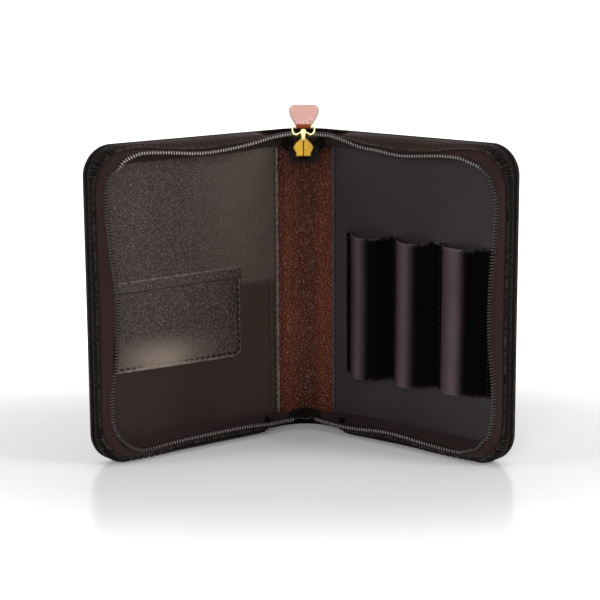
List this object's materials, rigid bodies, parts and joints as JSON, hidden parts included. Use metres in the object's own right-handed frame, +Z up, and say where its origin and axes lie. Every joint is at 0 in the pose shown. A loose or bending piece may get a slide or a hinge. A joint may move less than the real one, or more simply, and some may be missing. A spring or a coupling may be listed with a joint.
{
  "type": "fountain pen case",
  "caption": "Zip-around leather pen case, standing open like a book, with pen loops on one cover and a flapped pocket on the other.",
  "frame": {"origin": "centre of the open case's box, on the surface it stands on", "axes": "+Z up along the spine, +X across the open case from the pocket cover to the pen-loop cover, -Y out of the open side"},
  "size_m": [0.2198, 0.0892, 0.1774],
  "materials": {
    "black_leather": "satin, fine pebbled grain",
    "lining_leather": "satin, fine grain",
    "brown_leather": "satin, pebbled grain",
    "red_leather": "satin, pebbled grain",
    "brown_tape": "woven",
    "coil": "satin",
    "gold": "polished",
    "thread": "twisted thread",
    "padding": "foam",
    "board": "matt"
  },
  "bodies": {
    "spine": {"spine_leather": "black_leather", "spine_board": "board", "spine_lining": "brown_leather", "spine_top_gusset": "black_leather", "spine_foot_gusset": "black_leather", "chain_end": "coil", "chain_end_tape": "brown_tape", "zip_end_patch": "black_leather", "bottom_stop": "gold"},
    "left_cover": {"left_leather": "black_leather", "left_padding": "padding", "left_board": "board", "left_lining": "lining_leather", "left_gusset": "black_leather", "left_tape": "brown_tape", "left_coil": "coil", "left_top_stop": "gold", "left_rim_thread": "thread", "left_hinge_thread": "thread", "pocket_front": "lining_leather", "pocket_thread": "thread", "flap_band": "lining_leather"},
    "right_cover": {"right_leather": "black_leather", "right_padding": "padding", "right_board": "board", "right_lining": "lining_leather", "right_gusset": "black_leather", "right_tape": "brown_tape", "right_coil": "coil", "right_top_stop": "gold", "right_rim_thread": "thread", "right_hinge_thread": "thread", "pen_loop_strip": "black_leather", "loop_thread": "thread"},
    "flap": {"pocket_flap": "lining_leather", "flap_backing": "black_leather", "flap_thread": "thread"},
    "slider": {"slider_body": "gold", "slider_face": "gold", "slider_crown": "gold"},
    "ring": {"pull_ring": "gold"},
    "tab": {"tab_front": "red_leather", "tab_back": "brown_leather", "tab_fold": "brown_leather"}
  },
  "joints": [
    {"name": "left_cover_hinge", "type": "hinge", "parent": "spine", "child": "left_cover", "pos_m": [-0.016, 0.03882, 0.0825], "axis": [0, 0, 1], "range_deg": [-38.5, 51.5], "deforming": ["spine_top_gusset", "spine_foot_gusset"]},
    {"name": "right_cover_hinge", "type": "hinge", "parent": "spine", "child": "right_cover", "pos_m": [0.016, 0.03882, 0.0825], "axis": [0, 0, -1], "range_deg": [-38.5, 51.5], "deforming": ["spine_top_gusset", "spine_foot_gusset"]},
    {"name": "flap_fold", "type": "hinge", "parent": "left_cover", "child": "flap", "pos_m": [-0.06478, -0.00828, 0.0883], "axis": [0.7826, 0.6225, 0], "range_deg": [-115, 0]},
    {"name": "slider_run", "type": "slide", "parent": "spine", "child": "slider", "axis": [0, 0, 1], "range_m": [0, 0.003]},
    {"name": "ring_swing", "type": "hinge", "parent": "slider", "child": "ring", "pos_m": [0, 0.02428, 0.1645], "axis": [-1, 0, 0], "range_deg": [-200, 22]},
    {"name": "tab_swing", "type": "hinge", "parent": "ring", "child": "tab", "pos_m": [0, 0.02837, 0.16737], "axis": [1, 0, 0], "range_deg": [-25, 70]}
  ]
}
